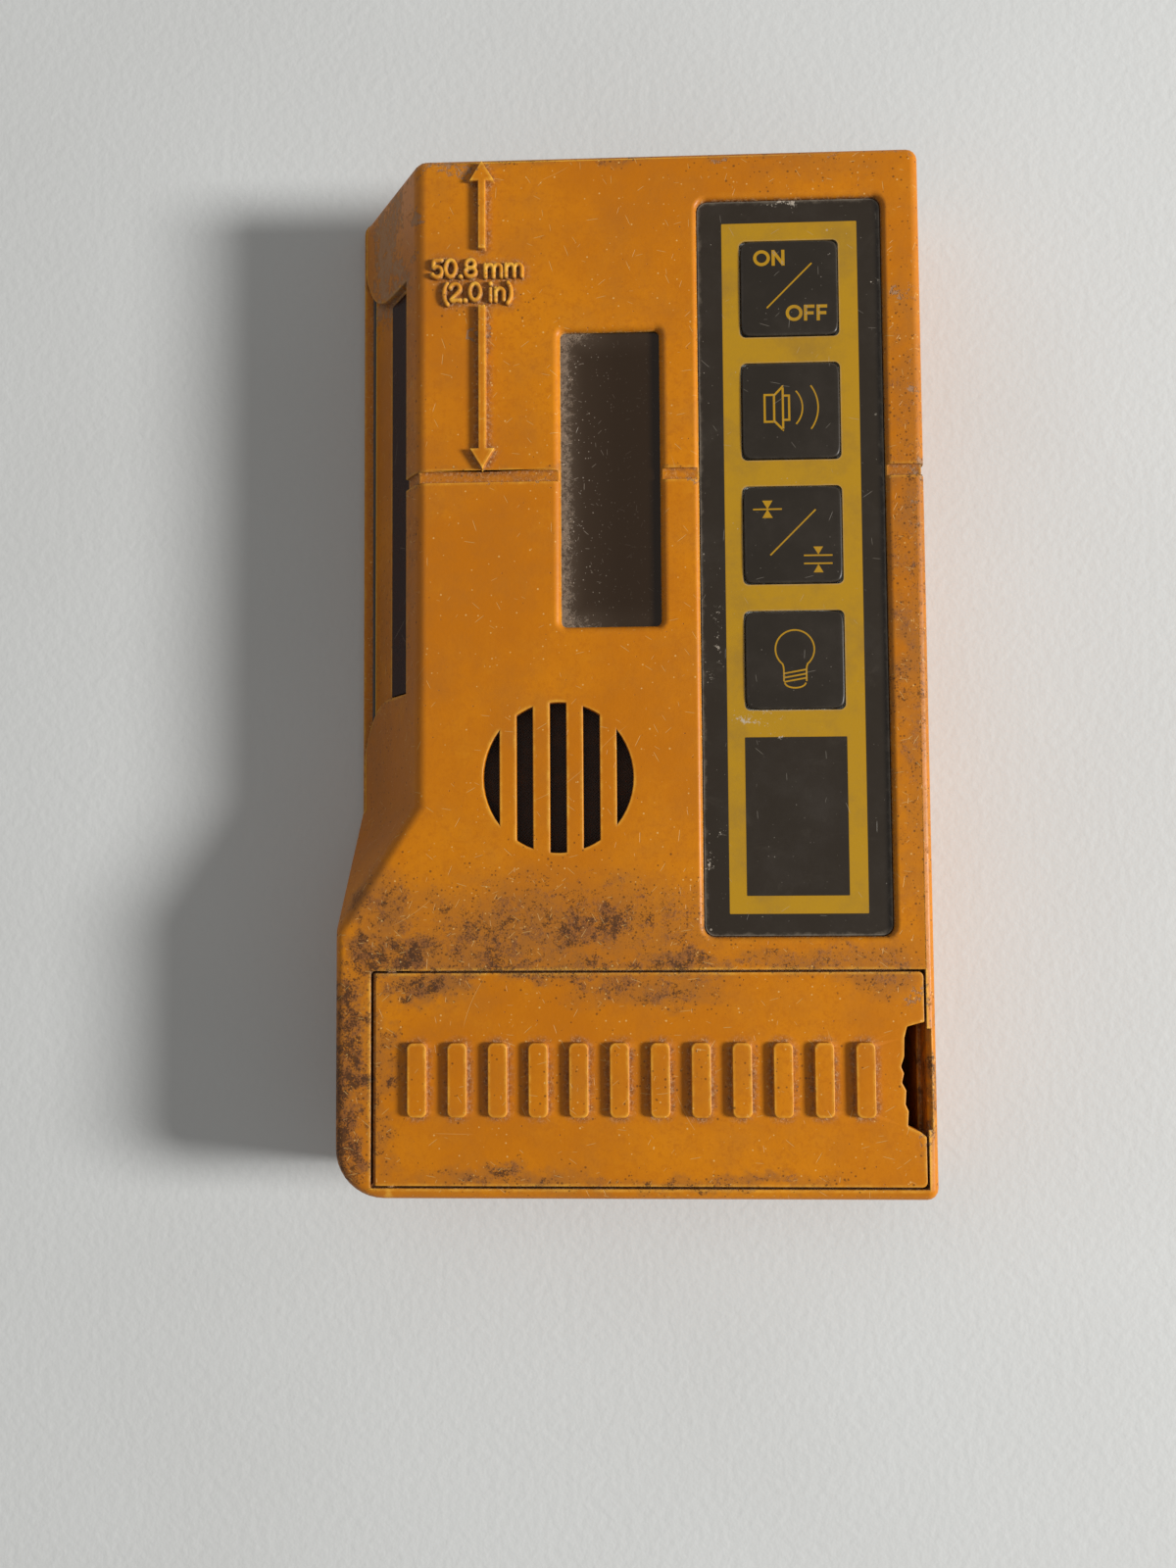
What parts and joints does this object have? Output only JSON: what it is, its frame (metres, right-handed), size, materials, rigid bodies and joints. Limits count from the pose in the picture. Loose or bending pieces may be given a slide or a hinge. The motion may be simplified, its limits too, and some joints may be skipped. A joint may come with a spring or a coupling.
{
  "type": "laser receiver",
  "caption": "Hand-held laser receiver: orange case with a sloped side for the beam window, narrow display, key column, sounder grille and hinged battery door.",
  "frame": {"origin": "centre of the flat back face, on which the receiver lies", "axes": "+Z out of the front face, +Y towards the top edge, +X to the right as the front face is read"},
  "size_m": [0.0906, 0.161, 0.024],
  "materials": {
    "case_plastic": "moulded, scuffed orange plastic",
    "seal_rubber": "matt rubber",
    "screw_steel": "plated steel",
    "brass": "turned brass",
    "plate_aluminium": "satin, bare",
    "display_pane": "smoky clear plastic",
    "black_plastic": "moulded",
    "display_glass": "liquid crystal glass, off",
    "white_plastic": "moulded",
    "clear_film": "polyester film",
    "keypad_print": "printed film, mustard frame on black",
    "key_face": "printed film with mustard symbols",
    "grille_cloth": "black acoustic cloth",
    "board": "solder mask",
    "beam_filter": "dark red filter",
    "tray_plastic": "moulded",
    "cell_sleeve": "plain shrink sleeve",
    "contact_metal": "nickel plated",
    "lead_sleeve": "insulated wire",
    "foam": "closed-cell foam"
  },
  "bodies": {
    "case": {"front_shell": "case_plastic", "rear_cover": "case_plastic", "cover_seal": "seal_rubber", "cover_screws": "screw_steel", "clamp_insert": "brass", "rating_plate": "plate_aluminium", "display_window": "display_pane", "display_frame": "black_plastic", "display_glass": "display_glass", "display_backlight": "white_plastic", "zebra_strips": "seal_rubber", "keypad_circuit": "clear_film", "keypad_spacer": "clear_film", "keypad_overlay": "keypad_print", "snap_domes": "screw_steel", "grille_cloth": "grille_cloth", "buzzer_case": "black_plastic", "buzzer_disc": "brass", "main_board": "board", "board_chips": "black_plastic", "tail_connector": "white_plastic", "board_screws": "screw_steel", "beam_window": "beam_filter", "light_sensors": "black_plastic", "sensor_board": "board", "sensor_screws": "screw_steel", "sensor_ribbon": "clear_film", "battery_tray": "tray_plastic", "battery_cells": "cell_sleeve", "contact_plates": "contact_metal", "contact_springs": "contact_metal", "battery_leads": "lead_sleeve"},
    "door": {"battery_door": "case_plastic", "door_pad": "foam"},
    "power_key": {"key_power": "key_face"},
    "sound_key": {"key_sound": "key_face"},
    "precision_key": {"key_precision": "key_face"},
    "lamp_key": {"key_lamp": "key_face"}
  },
  "joints": [
    {"name": "door_hinge", "type": "hinge", "parent": "case", "child": "door", "pos_m": [-0.03696, -0.06248, 0.0216], "axis": [0, -1, 0], "range_deg": [0, 110]},
    {"name": "power_press", "type": "slide", "parent": "case", "child": "power_key", "axis": [0, 0, -1], "range_m": [0, 0.0004], "stiffness_N_per_m": 1500, "deforming": ["snap_domes"]},
    {"name": "sound_press", "type": "slide", "parent": "case", "child": "sound_key", "axis": [0, 0, -1], "range_m": [0, 0.0004], "stiffness_N_per_m": 1500, "deforming": ["snap_domes"]},
    {"name": "precision_press", "type": "slide", "parent": "case", "child": "precision_key", "axis": [0, 0, -1], "range_m": [0, 0.0004], "stiffness_N_per_m": 1500, "deforming": ["snap_domes"]},
    {"name": "lamp_press", "type": "slide", "parent": "case", "child": "lamp_key", "axis": [0, 0, -1], "range_m": [0, 0.0004], "stiffness_N_per_m": 1500, "deforming": ["snap_domes"]}
  ]
}
